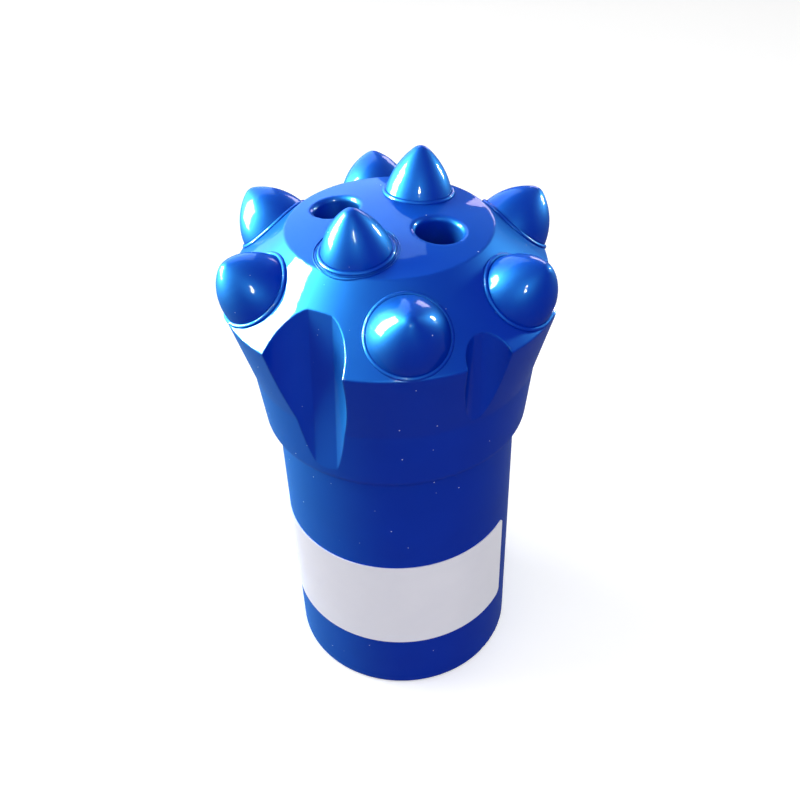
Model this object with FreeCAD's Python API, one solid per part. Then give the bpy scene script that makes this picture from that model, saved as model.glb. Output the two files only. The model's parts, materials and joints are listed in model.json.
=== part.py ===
"""Threaded button drill bit for 51 mm holes, with an R32 size rod socket.

A steel body carries tungsten carbide buttons that are pressed into blind pockets: six gauge
buttons on the cone and two face buttons on the crowned face. Two flushing holes lead from a
central water chamber to the face. Six upright grooves carry the cuttings away, and two flats
relieve the sides of the head.

Frame: millimetres, +Z along the bit axis towards the rock, origin in the middle of the skirt's
open end, on which the bit stands. Angles are counted from +X towards +Y.
"""

import FreeCAD
import Part

import math
import os

Vector = FreeCAD.Vector
UP = Vector(0, 0, 1)
ORIGIN = Vector(0, 0, 0)

# Body of revolution, from the open end upwards. The waist's share says how far out its radius
# lies between the shoulder and the gauge edge.
SKIRT_RADIUS = 19.0
SKIRT_LENGTH = 49.1
SKIRT_END_ROUND = 0.8
SHOULDER_STEP = 1.7
SHOULDER_RISE = 1.4
SHOULDER_ROUND = 1.6
JUNCTION_FILLET = 1.0
GAUGE_EDGE_RADIUS = 25.0
GAUGE_EDGE_ROUND = 0.3
WAIST_ABOVE_SHOULDER = 10.0
WAIST_SHARE = 0.233
WAIST_BLEND = 4.0
FLARE_RISE = 12.4
GAUGE_CONE_WIDTH = 10.2
GAUGE_CONE_RISE = 8.8
FACE_RIM_ROUND = 0.5
FACE_CROWN = 1.4

# Rod socket and water way. The socket is bored to the root of its thread.
SOCKET_RADIUS = 16.1
SOCKET_DEPTH = 43.0
SOCKET_LEAD_IN = 1.0
CHAMBER_RADIUS = 6.0
CHAMBER_DEPTH = 17.0
CHAMBER_DRILL_POINT = 3.0
FLUSH_HOLE_RADIUS = 3.25
FLUSH_HOLE_TURNS_AND_INSETS = ((90.0, 6.8), (-90.0, 6.0))
FLUSH_HOLE_TILT = 18.0
FLUSH_MOUTH_ROUND = 0.7

# Angles of the two patterns on the head. The other angles are counted from one of these.
FACE_PATTERN_ANGLE = -118.5
GAUGE_PATTERN_ANGLE = -121.0
GAUGE_BUTTON_ANGLES = (-36.0, 36.4, 88.4, 143.6, 216.4, 270.0)
LARGE_GROOVE_LAG = -1.5
SMALL_GROOVE_LAG = -1.2
SIDE_FLAT_ANGLE = 119.0

# Gauge buttons.
GAUGE_BUTTON_RADIUS = 5.5
GAUGE_BUTTON_INSET = 4.5
GAUGE_BUTTON_TILT = 38.0
GAUGE_BUTTON_RISE = 6.2
GAUGE_BUTTON_TIP = 1.75
GAUGE_BUTTON_GRIP = 8.5

# Face buttons.
FACE_BUTTON_RADIUS = 4.9
FACE_BUTTON_INSET = 5.3
FACE_BUTTON_TILT = 9.0
FACE_BUTTON_RISE = 6.6
FACE_BUTTON_TIP = 1.65
FACE_BUTTON_GRIP = 8.0

# Shared button form.
BUTTON_FLANK_ANGLE = 14.0
BUTTON_BASE_CHAMFER = 0.8

# Cuttings grooves: two large ones beside the face buttons and four small ones. Side flats.
LARGE_GROOVE_RADIUS = 6.25
LARGE_GROOVE_FLOOR_WIDTH = 3.7
LARGE_GROOVE_DEPTH = 5.75
LARGE_GROOVE_TILT = 4.5
SMALL_GROOVE_RADIUS = 3.6
SMALL_GROOVE_FLOOR_WIDTH = 1.2
SMALL_GROOVE_DEPTH = 3.15
SMALL_GROOVE_TILT = 0.0
SIDE_FLAT_DEPTH = 2.1

# Adhesive label on the skirt.
LABEL_BOTTOM = 11.9
LABEL_HEIGHT = 18.8
LABEL_LENGTH = 56.0
LABEL_THICKNESS = 0.15
LABEL_RIGHT_EDGE_ANGLE = -27.0
LABEL_CORNER_ROUND = 1.2

# Allowances of the cutting tools, which stand clear of the metal they start outside.
TOOL_OVERRUN = 6.0

# Radii and heights worked out from the sizes above.
SHOULDER_RADIUS = SKIRT_RADIUS + SHOULDER_STEP
WAIST_RADIUS = SHOULDER_RADIUS + WAIST_SHARE * (GAUGE_EDGE_RADIUS - SHOULDER_RADIUS)
FACE_RADIUS = GAUGE_EDGE_RADIUS - GAUGE_CONE_WIDTH
GAUGE_BUTTON_PITCH_RADIUS = GAUGE_EDGE_RADIUS - GAUGE_BUTTON_INSET
FACE_BUTTON_PITCH_RADIUS = FACE_RADIUS - FACE_BUTTON_INSET
SHOULDER_TOP = SKIRT_LENGTH + SHOULDER_RISE
WAIST_HEIGHT = SHOULDER_TOP + WAIST_ABOVE_SHOULDER
GAUGE_EDGE_HEIGHT = WAIST_HEIGHT + FLARE_RISE
FACE_RIM_HEIGHT = GAUGE_EDGE_HEIGHT + GAUGE_CONE_RISE
FACE_TOP_HEIGHT = FACE_RIM_HEIGHT + FACE_CROWN


def radial(angle):
    """Unit vector in the XY plane at an angle in degrees."""
    return Vector(math.cos(math.radians(angle)), math.sin(math.radians(angle)), 0)


def leaning(angle, tilt):
    """Unit vector that leans outward from +Z by tilt, in the radial plane at angle."""
    lean = math.radians(tilt)
    return radial(angle) * math.sin(lean) + UP * math.cos(lean)


def line(start, end):
    """Straight edge between two points."""
    return Part.LineSegment(start, end).toShape()


def arc(start, middle, end):
    """Circular edge through three points."""
    return Part.Arc(start, middle, end).toShape()


def revolved(edges):
    """Solid of revolution about Z from a closed outline in the XZ plane."""
    face = Part.Face(Part.Wire(edges))
    return face.revolve(ORIGIN, UP, 360)


def polygon_edges(points):
    """Straight edges through points given as (x, z) in the XZ plane."""
    corners = [Vector(x, 0, z) for x, z in points]
    return [line(a, b) for a, b in zip(corners, corners[1:])]


def round_circle(solid, radius, height, size):
    """Round the circular edge about Z that has this radius and height."""
    for edge in solid.Edges:
        if not isinstance(edge.Curve, Part.Circle):
            continue
        centre = edge.Curve.Center
        same_radius = abs(edge.Curve.Radius - radius) < 1e-4
        if same_radius and centre.distanceToPoint(UP * height) < 1e-4:
            return solid.makeFillet(size, [edge])
    raise ValueError(f"no circle of radius {radius} at height {height}")


def crown_height(radius):
    """Height of the crowned face at a distance from the axis."""
    sphere = (FACE_RADIUS**2 + FACE_CROWN**2) / (2 * FACE_CROWN)
    return FACE_TOP_HEIGHT - sphere + math.sqrt(sphere**2 - radius**2)


def cone_height(radius):
    """Height of the gauge cone at a distance from the axis."""
    return FACE_RIM_HEIGHT - GAUGE_CONE_RISE * (radius - FACE_RADIUS) / GAUGE_CONE_WIDTH


def rounded_corner(before, corner, after, size):
    """Start, middle and end of the arc that rounds one corner of an outline."""
    back = (before - corner).normalize()
    ahead = (after - corner).normalize()
    half_angle = back.getAngle(ahead) / 2
    inward = (back + ahead).normalize()
    centre = corner + inward * (size / math.sin(half_angle))
    reach = size / math.tan(half_angle)
    return corner + back * reach, centre - inward * size, corner + ahead * reach


def turned_body():
    """Outside of the body: skirt, shoulder, flared head, gauge cone and crowned face."""
    shoulder = Vector(SHOULDER_RADIUS, 0, SHOULDER_TOP)
    waist = Vector(WAIST_RADIUS, 0, WAIST_HEIGHT)
    gauge_edge = Vector(GAUGE_EDGE_RADIUS, 0, GAUGE_EDGE_HEIGHT)
    face_rim = Vector(FACE_RADIUS, 0, FACE_RIM_HEIGHT)
    top = Vector(0, 0, FACE_TOP_HEIGHT)
    on_crown = Vector(FACE_RADIUS / 2, 0, crown_height(FACE_RADIUS / 2))
    blend = rounded_corner(shoulder, waist, gauge_edge, WAIST_BLEND)
    outline = polygon_edges([
        (0, 0),
        (SKIRT_RADIUS, 0),
        (SKIRT_RADIUS, SKIRT_LENGTH),
        (SHOULDER_RADIUS, SHOULDER_TOP),
    ])
    outline += [
        line(shoulder, blend[0]),
        arc(*blend),
        line(blend[2], gauge_edge),
        line(gauge_edge, face_rim),
        arc(face_rim, on_crown, top),
        line(top, ORIGIN),
    ]
    body = revolved(outline)
    roundings = (
        (SKIRT_RADIUS, 0, SKIRT_END_ROUND),
        (SKIRT_RADIUS, SKIRT_LENGTH, JUNCTION_FILLET),
        (SHOULDER_RADIUS, SHOULDER_TOP, SHOULDER_ROUND),
        (GAUGE_EDGE_RADIUS, GAUGE_EDGE_HEIGHT, GAUGE_EDGE_ROUND),
        (FACE_RADIUS, FACE_RIM_HEIGHT, FACE_RIM_ROUND),
    )
    for radius, height, size in roundings:
        body = round_circle(body, radius, height, size)
    return body


def groove_cutter(angle, radius, floor_width, depth, tilt):
    """Milling cutter's path: an upright U with a narrow flat floor that faces outward."""
    half_floor = floor_width / 2
    centre = math.sqrt(radius**2 - half_floor**2)
    mid_angle = (math.asin(half_floor / radius) + math.pi / 2) / 2
    mid_x = centre - radius * math.cos(mid_angle)
    mid_y = radius * math.sin(mid_angle)
    outside = centre + radius + TOOL_OVERRUN
    left = [Vector(0, half_floor, 0), Vector(mid_x, mid_y, 0), Vector(centre, radius, 0)]
    right = [Vector(0, -half_floor, 0), Vector(mid_x, -mid_y, 0), Vector(centre, -radius, 0)]
    section = Part.Wire([
        arc(*left),
        line(left[2], Vector(outside, radius, 0)),
        line(Vector(outside, radius, 0), Vector(outside, -radius, 0)),
        line(Vector(outside, -radius, 0), right[2]),
        arc(right[2], right[1], right[0]),
        line(right[0], left[0]),
    ])
    lean = math.tan(math.radians(tilt))
    below_edge = GAUGE_EDGE_HEIGHT - SKIRT_LENGTH
    floor = GAUGE_EDGE_RADIUS - depth + below_edge * lean
    start = Vector(floor, 0, SKIRT_LENGTH)
    section.translate(start)
    rise = FACE_TOP_HEIGHT + TOOL_OVERRUN - SKIRT_LENGTH
    cutter = Part.Face(section).extrude(Vector(-rise * lean, 0, rise))
    cutter.rotate(ORIGIN, UP, angle)
    return cutter


def groove_cutters():
    """The two large cutters in line with the face buttons and the four small ones."""
    cutters = []
    for half_turn in (0, 180):
        cutters.append(groove_cutter(
            FACE_PATTERN_ANGLE + half_turn + LARGE_GROOVE_LAG,
            LARGE_GROOVE_RADIUS,
            LARGE_GROOVE_FLOOR_WIDTH,
            LARGE_GROOVE_DEPTH,
            LARGE_GROOVE_TILT,
        ))
    for first, second in ((1, 2), (2, 3), (4, 5), (5, 0)):
        start = GAUGE_BUTTON_ANGLES[first]
        gap = (GAUGE_BUTTON_ANGLES[second] - start) % 360
        cutters.append(groove_cutter(
            GAUGE_PATTERN_ANGLE + start + gap / 2 + SMALL_GROOVE_LAG,
            SMALL_GROOVE_RADIUS,
            SMALL_GROOVE_FLOOR_WIDTH,
            SMALL_GROOVE_DEPTH,
            SMALL_GROOVE_TILT,
        ))
    return cutters


def side_flat_cutters():
    """Milling paths of the two flats that relieve the gauge edge."""
    cutters = []
    for half_turn in (0, 180):
        cutter = Part.makeBox(
            SIDE_FLAT_DEPTH + TOOL_OVERRUN,
            2 * GAUGE_EDGE_RADIUS,
            FACE_TOP_HEIGHT + TOOL_OVERRUN - WAIST_HEIGHT,
            Vector(GAUGE_EDGE_RADIUS - SIDE_FLAT_DEPTH, -GAUGE_EDGE_RADIUS, WAIST_HEIGHT),
        )
        cutter.rotate(ORIGIN, UP, GAUGE_PATTERN_ANGLE + SIDE_FLAT_ANGLE + half_turn)
        cutters.append(cutter)
    return cutters


def water_way():
    """Rod socket with its lead-in, and the water chamber with its drill point."""
    chamber_top = SOCKET_DEPTH + CHAMBER_DEPTH
    outline = polygon_edges([
        (0, -TOOL_OVERRUN),
        (SOCKET_RADIUS + SOCKET_LEAD_IN, -TOOL_OVERRUN),
        (SOCKET_RADIUS + SOCKET_LEAD_IN, 0),
        (SOCKET_RADIUS, SOCKET_LEAD_IN),
        (SOCKET_RADIUS, SOCKET_DEPTH),
        (CHAMBER_RADIUS, SOCKET_DEPTH),
        (CHAMBER_RADIUS, chamber_top),
        (0, chamber_top + CHAMBER_DRILL_POINT),
        (0, -TOOL_OVERRUN),
    ])
    return revolved(outline)


def flush_mouths():
    """Angle of each flushing hole, and the middle of its mouth on the crowned face."""
    mouths = []
    for turn, inset in FLUSH_HOLE_TURNS_AND_INSETS:
        angle = FACE_PATTERN_ANGLE + turn
        radius = FACE_RADIUS - inset
        mouths.append((angle, radial(angle) * radius + UP * crown_height(radius)))
    return mouths


def flush_hole_cutter(angle, mouth):
    """Drill for one flushing hole, from the water chamber to past the face."""
    direction = leaning(angle, FLUSH_HOLE_TILT)
    chamber_middle = SOCKET_DEPTH + CHAMBER_DEPTH * 0.75
    depth = (mouth.z - chamber_middle) / direction.z
    start = mouth - direction * depth
    return Part.makeCylinder(FLUSH_HOLE_RADIUS, depth + TOOL_OVERRUN, start, direction)


def round_flush_mouths(body, mouths):
    """Round the two edges where the flushing holes meet the crowned face."""
    edges = []
    for edge in body.Edges:
        box = edge.BoundBox
        narrow = max(box.XLength, box.YLength) < 4 * FLUSH_HOLE_RADIUS
        offset = min(box.Center.distanceToPoint(mouth) for _, mouth in mouths)
        if narrow and offset < FLUSH_HOLE_RADIUS / 2:
            edges.append(edge)
    return body.makeFillet(FLUSH_MOUTH_ROUND, edges)


class Button:
    """A carbide button: a grip in its pocket and a ballistic top with a round tip.

    Args:
        radius: radius of the grip and of the pocket.
        rise: height of the tip above the pocket's mouth, along the button.
        tip: radius of the round tip.
        grip: depth of the pocket.
        foot: where the axis passes the body's surface.
        direction: unit vector along the button, out of the body.
    """

    def __init__(self, radius, rise, tip, grip, foot, direction):
        self.radius = radius
        self.rise = rise
        self.tip = tip
        self.grip = grip
        self.foot = foot
        self.direction = direction

    def pocket(self):
        """Cutter for the blind pocket."""
        bottom = self.foot - self.direction * self.grip
        return Part.makeCylinder(self.radius, self.grip + TOOL_OVERRUN, bottom, self.direction)

    def flank(self):
        """Centre and radius of the flank's arc in the (x, z) plane.

        The arc starts at the grip's rim, leaning in by the flank angle, and runs into the
        round tip without a corner.
        """
        lean = math.radians(BUTTON_FLANK_ANGLE)
        tip_centre = self.rise - self.tip
        reach = self.radius**2 + tip_centre**2 - self.tip**2
        slack = self.radius * math.cos(lean) - tip_centre * math.sin(lean) - self.tip
        size = reach / (2 * slack)
        return self.radius - size * math.cos(lean), -size * math.sin(lean), size

    def solid(self):
        """The button, placed in the body."""
        centre_x, centre_z, size = self.flank()
        tip_centre = self.rise - self.tip
        away = math.atan2(tip_centre - centre_z, -centre_x)
        start = math.atan2(-centre_z, self.radius - centre_x)
        middle = (away + start) / 2
        half_tip = (away + math.pi / 2) / 2

        def on_flank(angle):
            return Vector(centre_x + size * math.cos(angle), 0, centre_z + size * math.sin(angle))

        def on_tip(angle):
            return Vector(self.tip * math.cos(angle), 0, tip_centre + self.tip * math.sin(angle))

        chamfer = BUTTON_BASE_CHAMFER
        edges = polygon_edges([
            (0, -self.grip),
            (self.radius - chamfer, -self.grip),
            (self.radius, -self.grip + chamfer),
            (self.radius, 0),
        ])
        edges.append(arc(Vector(self.radius, 0, 0), on_flank(middle), on_tip(away)))
        edges.append(arc(on_tip(away), on_tip(half_tip), Vector(0, 0, self.rise)))
        edges.append(line(Vector(0, 0, self.rise), Vector(0, 0, -self.grip)))
        button = revolved(edges)
        button.Placement = FreeCAD.Placement(self.foot, FreeCAD.Rotation(UP, self.direction))
        return button


def gauge_buttons():
    """The six buttons on the gauge cone, by node name."""
    buttons = {}
    for number, offset in enumerate(GAUGE_BUTTON_ANGLES, start=1):
        angle = GAUGE_PATTERN_ANGLE + offset
        height = cone_height(GAUGE_BUTTON_PITCH_RADIUS)
        buttons[f"gauge_button_{number}"] = Button(
            GAUGE_BUTTON_RADIUS,
            GAUGE_BUTTON_RISE,
            GAUGE_BUTTON_TIP,
            GAUGE_BUTTON_GRIP,
            radial(angle) * GAUGE_BUTTON_PITCH_RADIUS + UP * height,
            leaning(angle, GAUGE_BUTTON_TILT),
        )
    return buttons


def face_buttons():
    """The two buttons on the crowned face, by node name."""
    buttons = {}
    for number, half_turn in enumerate((0, 180), start=1):
        angle = FACE_PATTERN_ANGLE + half_turn
        height = crown_height(FACE_BUTTON_PITCH_RADIUS)
        buttons[f"face_button_{number}"] = Button(
            FACE_BUTTON_RADIUS,
            FACE_BUTTON_RISE,
            FACE_BUTTON_TIP,
            FACE_BUTTON_GRIP,
            radial(angle) * FACE_BUTTON_PITCH_RADIUS + UP * height,
            leaning(angle, FACE_BUTTON_TILT),
        )
    return buttons


def bit_body(buttons):
    """The steel body with its grooves, flats, socket, flushing holes and button pockets."""
    mouths = flush_mouths()
    drills = [flush_hole_cutter(angle, mouth) for angle, mouth in mouths]
    body = turned_body().cut(groove_cutters() + side_flat_cutters())
    body = round_flush_mouths(body.cut(drills), mouths)
    return body.cut([water_way()] + [button.pocket() for button in buttons])


def label():
    """Thin label wrapped round the skirt, with rounded corners."""
    sweep = math.degrees(LABEL_LENGTH / SKIRT_RADIUS)
    outside = SKIRT_RADIUS + LABEL_THICKNESS
    top = LABEL_BOTTOM + LABEL_HEIGHT
    section = Part.Face(Part.Wire(polygon_edges([
        (SKIRT_RADIUS, LABEL_BOTTOM),
        (outside, LABEL_BOTTOM),
        (outside, top),
        (SKIRT_RADIUS, top),
        (SKIRT_RADIUS, LABEL_BOTTOM),
    ])))
    sheet = section.revolve(ORIGIN, UP, sweep)
    corners = []
    for edge in sheet.Edges:
        short = abs(edge.Length - LABEL_THICKNESS) < 1e-6
        if short and edge.BoundBox.ZLength < 1e-6:
            corners.append(edge)
    sheet = sheet.makeFillet(LABEL_CORNER_ROUND, corners)
    sheet.rotate(ORIGIN, UP, LABEL_RIGHT_EDGE_ANGLE - sweep)
    return sheet


def single_solid(shape):
    """The one solid of a shape."""
    if len(shape.Solids) != 1:
        raise ValueError(f"expected one solid, found {len(shape.Solids)}")
    return shape.Solids[0]


def main():
    """Build every piece and write one STEP file for each."""
    buttons = {**gauge_buttons(), **face_buttons()}
    pieces = {"bit_body": bit_body(list(buttons.values())), "label": label()}
    for name, button in buttons.items():
        pieces[name] = button.solid()
    os.makedirs("parts", exist_ok=True)
    for name, shape in pieces.items():
        solid = single_solid(shape)
        solid.exportStep(f"parts/{name}.step")
        print(f"{name}: valid {solid.isValid()}, volume {solid.Volume:.1f} mm3")


if __name__ == "__main__":
    main()
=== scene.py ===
"""Looks, light and camera for a threaded button drill bit dipped in blue gloss lacquer."""

import json
import logging
import math
from dataclasses import dataclass, field
from enum import Enum
from typing import Any, Sequence

import bmesh
import bpy
from mathutils import Matrix, Vector
from mathutils.bvhtree import BVHTree


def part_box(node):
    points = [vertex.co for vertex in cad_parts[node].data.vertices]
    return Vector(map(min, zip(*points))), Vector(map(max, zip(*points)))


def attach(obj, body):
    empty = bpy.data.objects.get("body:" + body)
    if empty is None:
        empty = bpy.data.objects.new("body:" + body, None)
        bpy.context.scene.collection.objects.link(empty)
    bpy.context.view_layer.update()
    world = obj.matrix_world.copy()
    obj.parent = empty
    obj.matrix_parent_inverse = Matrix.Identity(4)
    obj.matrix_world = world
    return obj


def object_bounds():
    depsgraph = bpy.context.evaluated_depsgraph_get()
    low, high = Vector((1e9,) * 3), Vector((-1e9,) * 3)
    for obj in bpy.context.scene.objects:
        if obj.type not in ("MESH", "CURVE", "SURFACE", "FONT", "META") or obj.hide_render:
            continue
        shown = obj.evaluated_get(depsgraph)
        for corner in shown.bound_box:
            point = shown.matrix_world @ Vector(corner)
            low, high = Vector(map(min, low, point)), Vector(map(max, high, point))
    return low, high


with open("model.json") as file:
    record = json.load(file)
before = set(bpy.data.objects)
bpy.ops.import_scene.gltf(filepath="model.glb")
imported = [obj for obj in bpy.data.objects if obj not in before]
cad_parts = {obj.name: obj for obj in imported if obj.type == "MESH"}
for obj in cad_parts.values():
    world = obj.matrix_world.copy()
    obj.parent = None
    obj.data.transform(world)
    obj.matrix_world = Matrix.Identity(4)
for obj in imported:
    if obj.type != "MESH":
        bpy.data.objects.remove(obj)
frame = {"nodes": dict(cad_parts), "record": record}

LOG = logging.getLogger("drill_bit")
MM = 0.001
CAD_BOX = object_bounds()
Colour = tuple[float, float, float, float]
Point = tuple[float, float, float]


class Slot(Enum):
    """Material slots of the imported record."""

    BODY = "body_paint"
    BUTTON = "button_paint"
    LABEL = "label_film"


def linear(code: str) -> Colour:
    """Turn an sRGB hex value into linear light.

    Args:
        code: six hex digits with a leading hash sign.

    Returns:
        Red, green, blue and an alpha of one.
    """
    values = [int(code[i : i + 2], 16) / 255 for i in (1, 3, 5)]
    curved = [v / 12.92 if v <= 0.04045 else ((v + 0.055) / 1.055) ** 2.4 for v in values]
    return (curved[0], curved[1], curved[2], 1.0)


def add_node(
    tree: bpy.types.NodeTree,
    kind: str,
    settings: dict[str, Any] | None = None,
    **inputs: Any,
) -> bpy.types.Node:
    """Add a node, set its properties and sockets, and link what feeds it.

    Args:
        tree: node tree that gets the node.
        kind: Blender's type name of the node.
        settings: properties of the node.
        inputs: socket name with underscores for spaces, or iN for the socket at index N.
            A socket value becomes a link, and anything else the socket's own value.

    Returns:
        The new node.
    """
    node = tree.nodes.new(kind)
    for name, value in (settings or {}).items():
        setattr(node, name, value)
    for name, value in inputs.items():
        by_index = name[0] == "i" and name[1:].isdigit()
        socket = node.inputs[int(name[1:]) if by_index else name.replace("_", " ")]
        if isinstance(value, bpy.types.NodeSocket):
            tree.links.new(value, socket)
        else:
            socket.default_value = value
    return node


def new_material(name: str) -> tuple[bpy.types.Material, bpy.types.NodeTree]:
    """Make an empty node material.

    Args:
        name: the real material and its process.

    Returns:
        The material and its cleared node tree.
    """
    material = bpy.data.materials.new(name)
    material.use_nodes = True
    material.node_tree.nodes.clear()
    return material, material.node_tree


@dataclass(frozen=True)
class GlossLacquer:
    """Air-drying blue dip lacquer over steel and carbide.

    The lacquer is thick and runs a little, so the eye sees a wet mirror gloss with rounded
    edges, dust nibs in the skin with pale glints painted into the colour on them as painted
    highlights, and an azure sheen from its pearl pigment that shows only towards the window.
    """

    name: str
    pigment: str
    pigment_thin: str
    pearl: str = "#3CB4FF"
    pearl_share: float = 0.021
    pearl_roughness: float = 0.5
    gloss_weight: float = 0.07
    gloss_roughness: float = 0.03
    gloss_ior: float = 1.45
    edge_radius: float = 0.36 * MM
    cloud_size: float = 9.0 * MM
    ripple_size: float = 2.4 * MM
    ripple_height: float = 0.010 * MM
    # pale colour painted on the nibs as a painted highlight, standing in for their glints
    painted_glint_colour: str = "#E6EEFF"
    nib_spacing: float = 2.2 * MM
    nib_radius: float = 0.13 * MM
    nib_height: float = 0.06 * MM
    nib_share: float = 0.55

    def material(self) -> bpy.types.Material:
        """Build the node material."""
        material, tree = new_material(self.name)
        place = add_node(tree, "ShaderNodeTexCoord").outputs["Object"]
        cloud = add_node(
            tree, "ShaderNodeTexNoise", Vector=place, Scale=1 / self.cloud_size, Detail=2.0
        )
        colour = add_node(
            tree,
            "ShaderNodeMix",
            {"data_type": "RGBA"},
            i0=cloud.outputs["Fac"],
            i6=linear(self.pigment),
            i7=linear(self.pigment_thin),
        )
        # the nib mask gives the real bumps and also the painted glints: a pale colour mixed into
        # the base colour as a painted highlight
        nib_bumps_and_painted_glints = self.nib_and_glint_mask(tree, place)
        colour_with_painted_glints = add_node(
            tree,
            "ShaderNodeMix",
            {"data_type": "RGBA"},
            i0=nib_bumps_and_painted_glints,
            i6=colour.outputs["Result"],
            i7=linear(self.painted_glint_colour),
        )
        ripple = add_node(
            tree, "ShaderNodeTexNoise", Vector=place, Scale=1 / self.ripple_size, Detail=1.0
        )
        rounded = add_node(tree, "ShaderNodeBevel", {"samples": 6}, Radius=self.edge_radius)
        wavy = add_node(
            tree,
            "ShaderNodeBump",
            Strength=1.0,
            Distance=self.ripple_height,
            Height=ripple.outputs["Fac"],
            Normal=rounded.outputs["Normal"],
        )
        skin = add_node(
            tree,
            "ShaderNodeBump",
            Strength=1.0,
            Distance=self.nib_height,
            Height=nib_bumps_and_painted_glints,
            Normal=wavy.outputs["Normal"],
        )
        skin_gloss = {
            "Coat_Weight": self.gloss_weight,
            "Coat_Roughness": self.gloss_roughness,
            "Coat_IOR": self.gloss_ior,
            "Coat_Normal": skin.outputs["Normal"],
            "Normal": wavy.outputs["Normal"],
        }
        pigment = add_node(
            tree,
            "ShaderNodeBsdfPrincipled",
            Base_Color=colour_with_painted_glints.outputs["Result"],
            Metallic=0.0,
            Specular_IOR_Level=0.0,
            **skin_gloss,
        )
        pearl = add_node(
            tree,
            "ShaderNodeBsdfPrincipled",
            Base_Color=linear(self.pearl),
            Metallic=1.0,
            Roughness=self.pearl_roughness,
            **skin_gloss,
        )
        both = add_node(
            tree,
            "ShaderNodeMixShader",
            i0=self.pearl_share,
            i1=pigment.outputs["BSDF"],
            i2=pearl.outputs["BSDF"],
        )
        add_node(tree, "ShaderNodeOutputMaterial", Surface=both.outputs["Shader"])
        return material

    def nib_and_glint_mask(self, tree: bpy.types.NodeTree, place: bpy.types.NodeSocket) -> bpy.types.NodeSocket:
        """Dust nibs: one small bump in some of the cells of a Voronoi pattern, whose mask also
        paints pale glints into the colour as a painted highlight.

        Args:
            tree: the material's node tree.
            place: object coordinates.

        Returns:
            A height from 0 to 1.
        """
        cells = add_node(
            tree, "ShaderNodeTexVoronoi", Vector=place, Scale=1 / self.nib_spacing, Randomness=1.0
        )
        dome = add_node(
            tree,
            "ShaderNodeMapRange",
            {"interpolation_type": "SMOOTHSTEP"},
            Value=cells.outputs["Distance"],
            From_Min=0.0,
            From_Max=self.nib_radius / self.nib_spacing,
            To_Min=1.0,
            To_Max=0.0,
        )
        lot = add_node(tree, "ShaderNodeSeparateColor", Color=cells.outputs["Color"])
        chosen = add_node(
            tree,
            "ShaderNodeMath",
            {"operation": "LESS_THAN"},
            i0=lot.outputs["Red"],
            i1=self.nib_share,
        )
        height = add_node(
            tree,
            "ShaderNodeMath",
            {"operation": "MULTIPLY"},
            i0=dome.outputs["Result"],
            i1=chosen.outputs["Value"],
        )
        return height.outputs["Value"]


@dataclass(frozen=True)
class VinylFilm:
    """Silver-white self-adhesive vinyl: satin, with the soft grain of its metallised back."""

    name: str
    tone: str
    tone_worn: str
    roughness: float = 0.32
    cloud_size: float = 6.0 * MM
    grain_size: float = 0.35 * MM
    grain_height: float = 0.006 * MM

    def material(self) -> bpy.types.Material:
        """Build the node material."""
        material, tree = new_material(self.name)
        place = add_node(tree, "ShaderNodeTexCoord").outputs["Object"]
        cloud = add_node(
            tree, "ShaderNodeTexNoise", Vector=place, Scale=1 / self.cloud_size, Detail=3.0
        )
        colour = add_node(
            tree,
            "ShaderNodeMix",
            {"data_type": "RGBA"},
            i0=cloud.outputs["Fac"],
            i6=linear(self.tone),
            i7=linear(self.tone_worn),
        )
        grain = add_node(
            tree, "ShaderNodeTexNoise", Vector=place, Scale=1 / self.grain_size, Detail=2.0
        )
        skin = add_node(
            tree,
            "ShaderNodeBump",
            Strength=1.0,
            Distance=self.grain_height,
            Height=grain.outputs["Fac"],
        )
        shader = add_node(
            tree,
            "ShaderNodeBsdfPrincipled",
            Base_Color=colour.outputs["Result"],
            Metallic=0.0,
            Roughness=self.roughness,
            IOR=1.45,
            Normal=skin.outputs["Normal"],
        )
        add_node(tree, "ShaderNodeOutputMaterial", Surface=shader.outputs["BSDF"])
        return material


def dress(piece: bpy.types.Object, material: bpy.types.Material) -> None:
    """Give a piece one material.

    Args:
        piece: mesh object to dress.
        material: its finish.
    """
    piece.data.materials.clear()
    piece.data.materials.append(material)


def toward(azimuth: float, elevation: float) -> Vector:
    """Unit vector for an azimuth counted from +X towards +Y and an elevation, in degrees."""
    a, e = math.radians(azimuth), math.radians(elevation)
    return Vector((math.cos(a) * math.cos(e), math.sin(a) * math.cos(e), math.sin(e)))


@dataclass(frozen=True)
class Lamp:
    """A rectangular studio lamp that faces the middle of the bit."""

    name: str
    azimuth: float
    elevation: float
    width: float
    height: float
    radiance: float
    colour: str = "#FFFFFF"
    distance: float = 0.6
    lights_surfaces: bool = True
    shows_in_gloss: bool = True

    def build(self, target: Vector) -> bpy.types.Object:
        """Add the lamp to the scene.

        Args:
            target: point that the lamp faces.

        Returns:
            The lamp's object.
        """
        data = bpy.data.lights.new(self.name, "AREA")
        data.shape = "RECTANGLE"
        data.size = self.width
        data.size_y = self.height
        data.color = linear(self.colour)[:3]
        data.energy = self.radiance * math.pi * self.width * self.height
        lamp = bpy.data.objects.new(self.name, data)
        bpy.context.scene.collection.objects.link(lamp)
        back = toward(self.azimuth, self.elevation)
        lamp.location = target + back * self.distance
        lamp.rotation_euler = back.to_track_quat("Z", "Y").to_euler()
        lamp.visible_camera = False
        lamp.visible_diffuse = self.lights_surfaces
        lamp.visible_glossy = self.shows_in_gloss
        return lamp


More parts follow.
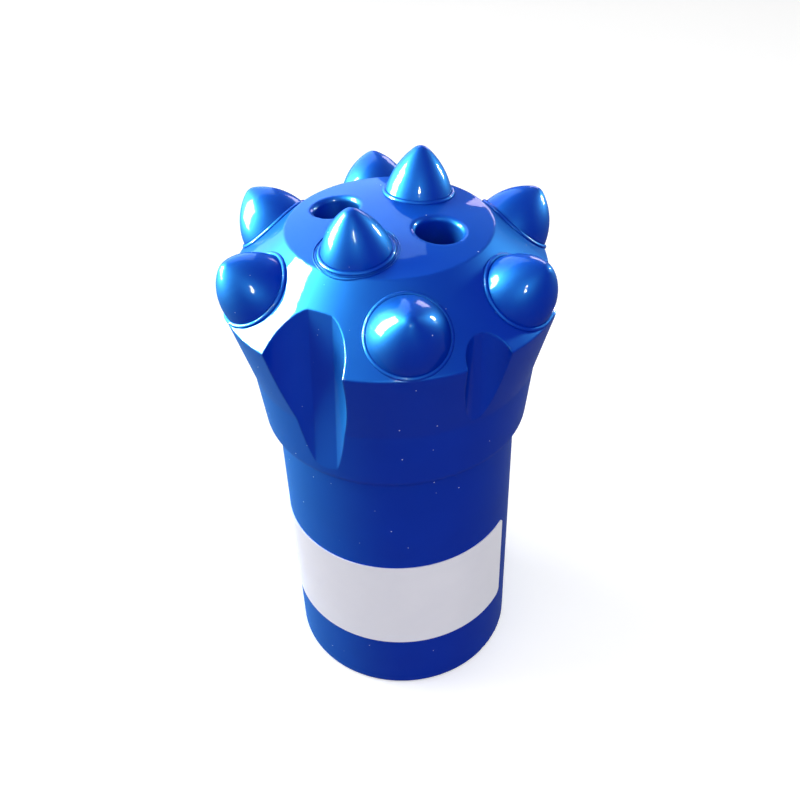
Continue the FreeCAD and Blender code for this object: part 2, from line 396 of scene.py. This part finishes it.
@dataclass
class Studio:
    """Pale floor, soft lamps and a white surround."""

    target: Vector
    floor_radius: float = 3.0
    floor_sides: int = 96
    floor_glow: float = 0.30
    ambient: float = 0.42
    lamps: Sequence[Lamp] = field(default_factory=tuple)

    def build(self) -> None:
        """Add floor, lamps and world."""
        self.floor()
        self.surround()
        for lamp in self.lamps:
            lamp.build(self.target)

    def seen_directly(self, tree: bpy.types.NodeTree) -> bpy.types.NodeSocket:
        """One for camera, glossy and transmission rays, and zero for the others."""
        path = add_node(tree, "ShaderNodeLightPath")
        either = add_node(
            tree,
            "ShaderNodeMath",
            {"operation": "MAXIMUM"},
            i0=path.outputs["Is Camera Ray"],
            i1=path.outputs["Is Glossy Ray"],
        )
        seen = add_node(
            tree,
            "ShaderNodeMath",
            {"operation": "MAXIMUM"},
            i0=either.outputs["Value"],
            i1=path.outputs["Is Transmission Ray"],
        )
        return seen.outputs["Value"]

    def floor(self) -> None:
        """Round white floor that keeps the shadow of the bit."""
        mesh = bpy.data.meshes.new("studio_floor")
        count = self.floor_sides
        ring = [toward(360 * i / count, 0) * self.floor_radius for i in range(count)]
        mesh.from_pydata([tuple(p) for p in ring], [], [list(range(count))])
        floor = bpy.data.objects.new("studio_floor", mesh)
        bpy.context.scene.collection.objects.link(floor)
        material, tree = new_material("matt_white_paper_sweep")
        seen = self.seen_directly(tree)
        grey = add_node(tree, "ShaderNodeBsdfDiffuse", Color=linear("#8C8C8C"))
        white = add_node(tree, "ShaderNodeBsdfDiffuse", Color=linear("#F4F4F4"))
        glow = add_node(
            tree, "ShaderNodeEmission", Color=linear("#FFFFFF"), Strength=self.floor_glow
        )
        paper = add_node(tree, "ShaderNodeAddShader", i0=white.outputs[0], i1=glow.outputs[0])
        both = add_node(
            tree, "ShaderNodeMixShader", i0=seen, i1=grey.outputs[0], i2=paper.outputs[0]
        )
        add_node(tree, "ShaderNodeOutputMaterial", Surface=both.outputs[0])
        mesh.materials.append(material)

    def surround(self) -> None:
        """World that is white where it is seen and dim as a light."""
        world = bpy.data.worlds.new("studio_surround")
        bpy.context.scene.world = world
        world.use_nodes = True
        tree = world.node_tree
        tree.nodes.clear()
        level = add_node(
            tree,
            "ShaderNodeMapRange",
            Value=self.seen_directly(tree),
            From_Min=0.0,
            From_Max=1.0,
            To_Min=self.ambient,
            To_Max=1.0,
        )
        light = add_node(
            tree,
            "ShaderNodeBackground",
            Color=linear("#FFFFFF"),
            Strength=level.outputs["Result"],
        )
        add_node(tree, "ShaderNodeOutputWorld", Surface=light.outputs[0])


@dataclass(frozen=True)
class Viewpoint:
    """Camera above and in front of the bit."""

    place: Point = (0.0, -0.12077, 0.14794)
    pitch: float = 0.6828
    yaw: float = 0.0055
    roll: float = -0.0348
    lens: float = 43.325

    def build(self) -> bpy.types.Object:
        """Add the camera and make it the scene's own."""
        ahead = Vector(
            (
                math.sin(self.yaw) * math.cos(self.pitch),
                math.cos(self.yaw) * math.cos(self.pitch),
                -math.sin(self.pitch),
            )
        )
        level = ahead.cross(Vector((0, 0, 1))).normalized()
        upright = level.cross(ahead)
        right = level * math.cos(self.roll) + upright * math.sin(self.roll)
        up = upright * math.cos(self.roll) - level * math.sin(self.roll)
        data = bpy.data.cameras.new("viewpoint")
        data.lens = self.lens
        data.sensor_width = 36.0
        data.clip_start = 0.01
        data.clip_end = 20.0
        camera = bpy.data.objects.new("viewpoint", data)
        bpy.context.scene.collection.objects.link(camera)
        turn = Matrix((right, up, -ahead)).transposed().to_4x4()
        camera.matrix_world = Matrix.Translation(self.place) @ turn
        bpy.context.scene.camera = camera
        return camera


PIGMENT = "#001A8C"
PIGMENT_THIN = "#00229C"
BODY_LACQUER = GlossLacquer("blue_gloss_lacquer_dipped_body", PIGMENT, PIGMENT_THIN)
BUTTON_LACQUER = GlossLacquer("blue_gloss_lacquer_dipped_buttons", PIGMENT, PIGMENT_THIN)
LABEL_FILM = VinylFilm("silver_white_vinyl_film", "#E2E1EC", "#DAD9E6")

# Each lamp: azimuth, elevation, width, height and radiance. The first three light the
# surfaces, and the others are what the wet lacquer mirrors: window, sky, wall and lamps.
LAMPS = (
    Lamp("window_light", 166, 32, 0.36, 0.36, 4.0, shows_in_gloss=False),
    Lamp("front_softbox", -80, 22, 0.6, 0.4, 2.3, shows_in_gloss=False),
    Lamp("overhead_softbox", -60, 80, 0.7, 0.7, 0.9, shows_in_gloss=False),
    Lamp("window_gloss", 168, 20, 0.27, 0.46, 700.0, lights_surfaces=False),
    Lamp("sky_gloss", 125, 22, 0.80, 0.80, 28.0, "#9CD0FF", lights_surfaces=False),
    Lamp("back_wall_gloss", 68, 14, 0.18, 0.18, 70.0, "#D8C8E8", lights_surfaces=False),
    Lamp("side_lamp_gloss", 31, 12, 0.07, 0.13, 900.0, lights_surfaces=False),
    Lamp("front_strip_gloss", -88, 33, 0.03, 0.14, 900.0, lights_surfaces=False),
)


@dataclass(frozen=True)
class ButtonSeat:
    """Axis, size and place of one button, read from its solid."""

    centre: Vector
    axis: Vector
    across: Vector
    aside: Vector
    radius: float

    @classmethod
    def of(cls, node: str, tilt: float) -> "ButtonSeat":
        """Read a seat from a button's node.

        Args:
            node: name of the button's node.
            tilt: angle of its axis from upright, in degrees.

        Returns:
            The button's seat.
        """
        low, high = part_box(node)
        azimuth = math.degrees(math.atan2(low[1] + high[1], low[0] + high[0]))
        axis = toward(azimuth, 90 - tilt)
        across = Vector((0, 0, 1)).cross(axis).normalized()
        aside = axis.cross(across)
        points = [v.co for v in frame["nodes"][node].data.vertices]
        level = [p.dot(across) for p in points]
        slope = [p.dot(aside) for p in points]
        centre = across * (min(level) + max(level)) / 2 + aside * (min(slope) + max(slope)) / 2
        return cls(centre, axis, across, aside, (max(level) - min(level)) / 2)


@dataclass(frozen=True)
class PaintLips:
    """Rolls of lacquer that stand where the dipped buttons meet the head."""

    gauge_tilt: float = 38.0
    face_tilt: float = 9.0
    lip_radius: float = 0.36 * MM
    lip_gap: float = 0.10 * MM
    lift: float = 0.05 * MM
    ring_radius: float = 0.09 * MM
    ring_gaps: tuple[float, ...] = (0.6 * MM, 0.95 * MM)
    swell_length: float = 2.5 * MM
    steps: int = 120
    smoothing: int = 3
    reach: float = 0.2

    def build(self, lacquer: bpy.types.Material) -> list[bpy.types.Object]:
        """Make the lips of all buttons and the sag rings of the near face button.

        Args:
            lacquer: finish of the lips.

        Returns:
            The finished pieces.
        """
        body = frame["nodes"]["bit_body"]
        skin = BVHTree.FromPolygons(
            [v.co for v in body.data.vertices], [tuple(p.vertices) for p in body.data.polygons]
        )
        gauge = [ButtonSeat.of(n, self.gauge_tilt) for n in self.nodes("gauge_button")]
        face = [ButtonSeat.of(n, self.face_tilt) for n in self.nodes("face_button")]
        lips = [self.path(seat, skin, self.lip_gap) for seat in gauge + face]
        rings = [self.path(face[0], skin, gap) for gap in self.ring_gaps]
        tree = bead_tree()
        return [
            self.bead("button_paint_lips", lips, tree, self.lip_radius, lacquer),
            self.bead("face_button_sag_rings", rings, tree, self.ring_radius, lacquer),
        ]

    def nodes(self, start: str) -> list[str]:
        """Names of the nodes that begin with a word, in order."""
        return sorted(name for name in frame["nodes"] if name.startswith(start))

    def path(self, seat: ButtonSeat, skin: BVHTree, gap: float) -> list[Vector]:
        """Closed line on the head round a button.

        Args:
            seat: the button's seat.
            skin: the head's surface.
            gap: distance of the line from the button's wall.

        Returns:
            Points of the line.
        """
        sides = []
        for i in range(self.steps):
            turn = math.tau * i / self.steps
            sides.append(seat.across * math.cos(turn) + seat.aside * math.sin(turn))
        heights = []
        for side in sides:
            start = seat.centre + side * (seat.radius + gap) + seat.axis * self.reach
            hit = skin.ray_cast(start, -seat.axis)[0]
            if hit is None:
                wall = seat.centre + side * seat.radius + seat.axis * heights[-1]
                hit = skin.find_nearest(wall)[0]
            heights.append(hit.dot(seat.axis))
        for _ in range(self.smoothing):
            heights = [
                (heights[i - 1] + 2 * heights[i] + heights[(i + 1) % self.steps]) / 4
                for i in range(self.steps)
            ]
        return [
            seat.centre + side * (seat.radius + gap) + seat.axis * (height + self.lift)
            for side, height in zip(sides, heights)
        ]

    def bead(
        self,
        name: str,
        loops: Sequence[Sequence[Vector]],
        tree: bpy.types.NodeTree,
        radius: float,
        lacquer: bpy.types.Material,
    ) -> bpy.types.Object:
        """Lay a bead along closed lines and make it a plain mesh.

        Args:
            name: name of the piece.
            loops: points of each closed line.
            tree: Geometry Nodes tree that lays the bead.
            radius: the bead's radius.
            lacquer: its finish.

        Returns:
            The finished piece, riding on the bit.
        """
        points = [tuple(p) for loop in loops for p in loop]
        edges = []
        for k, loop in enumerate(loops):
            first = k * self.steps
            edges += [(first + i, first + (i + 1) % len(loop)) for i in range(len(loop))]
        mesh = bpy.data.meshes.new(name)
        mesh.from_pydata(points, edges, [])
        piece = bpy.data.objects.new(name, mesh)
        bpy.context.scene.collection.objects.link(piece)
        modifier = piece.modifiers.new("bead", "NODES")
        modifier.node_group = tree
        sockets = {s.name: s.identifier for s in tree.interface.items_tree if s.in_out == "INPUT"}
        modifier[sockets["Bead Radius"]] = radius
        modifier[sockets["Swells Per Metre"]] = 1 / self.swell_length
        modifier[sockets["Lacquer"]] = lacquer
        evaluated = piece.evaluated_get(bpy.context.evaluated_depsgraph_get())
        finished = bpy.data.meshes.new_from_object(evaluated)
        piece.modifiers.clear()
        piece.data = finished
        shell = bmesh.new()
        shell.from_mesh(finished)
        bmesh.ops.recalc_face_normals(shell, faces=shell.faces)
        shell.to_mesh(finished)
        shell.free()
        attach(piece, "root")
        LOG.info("laid %s: %d faces", name, len(finished.polygons))
        return piece


def bead_tree() -> bpy.types.NodeTree:
    """Geometry Nodes tree that lays an uneven round bead along closed lines."""
    tree = bpy.data.node_groups.new("paint_bead", "GeometryNodeTree")
    for name, kind in (
        ("Geometry", "NodeSocketGeometry"),
        ("Bead Radius", "NodeSocketFloat"),
        ("Swells Per Metre", "NodeSocketFloat"),
        ("Lacquer", "NodeSocketMaterial"),
    ):
        tree.interface.new_socket(name, in_out="INPUT", socket_type=kind)
    tree.interface.new_socket("Geometry", in_out="OUTPUT", socket_type="NodeSocketGeometry")
    given = add_node(tree, "NodeGroupInput")
    line = add_node(tree, "GeometryNodeMeshToCurve", Mesh=given.outputs["Geometry"])
    flow = add_node(
        tree, "ShaderNodeTexNoise", Scale=given.outputs["Swells Per Metre"], Detail=1.0
    )
    swell = add_node(
        tree,
        "ShaderNodeMapRange",
        Value=flow.outputs[0],
        From_Min=0.25,
        From_Max=0.75,
        To_Min=0.75,
        To_Max=1.25,
    )
    uneven = add_node(
        tree, "GeometryNodeSetCurveRadius", Curve=line.outputs[0], Radius=swell.outputs["Result"]
    )
    profile = add_node(
        tree,
        "GeometryNodeCurvePrimitiveCircle",
        Resolution=12,
        Radius=given.outputs["Bead Radius"],
    )
    tube = add_node(
        tree,
        "GeometryNodeCurveToMesh",
        Curve=uneven.outputs[0],
        Profile_Curve=profile.outputs[0],
    )
    smooth = add_node(tree, "GeometryNodeSetShadeSmooth", i0=tube.outputs[0])
    plain = add_node(tree, "GeometryNodeRealizeInstances", i0=smooth.outputs[0])
    painted = add_node(
        tree,
        "GeometryNodeSetMaterial",
        Geometry=plain.outputs[0],
        Material=given.outputs["Lacquer"],
    )
    add_node(tree, "NodeGroupOutput", i0=painted.outputs[0])
    return tree


@dataclass(frozen=True)
class DrillBit:
    """The bit itself: its CAD pieces in their finishes, and the lacquer's own rolls."""

    body: GlossLacquer = BODY_LACQUER
    buttons: GlossLacquer = BUTTON_LACQUER
    label: VinylFilm = LABEL_FILM
    lips: PaintLips = PaintLips()

    def build(self) -> None:
        """Dress every CAD piece and lay the lips of paint."""
        finishes = {
            Slot.BODY.value: self.body.material(),
            Slot.BUTTON.value: self.buttons.material(),
            Slot.LABEL.value: self.label.material(),
        }
        for part in frame["record"]["subparts"]:
            piece = frame["nodes"][part["node"]]
            slot = part["material_slot"]
            dress(piece, finishes[slot])
            LOG.info("dressed %s", piece.name)
        self.lips.build(finishes[Slot.BUTTON.value])


def main() -> None:
    """Dress the bit, light it and place the camera."""
    logging.basicConfig(level=logging.INFO)
    DrillBit().build()
    target = (CAD_BOX[0] + CAD_BOX[1]) / 2
    Studio(target, lamps=LAMPS).build()
    Viewpoint().build()
    bpy.context.scene.view_settings.view_transform = "Standard"


if __name__ == "__main__":
    main()
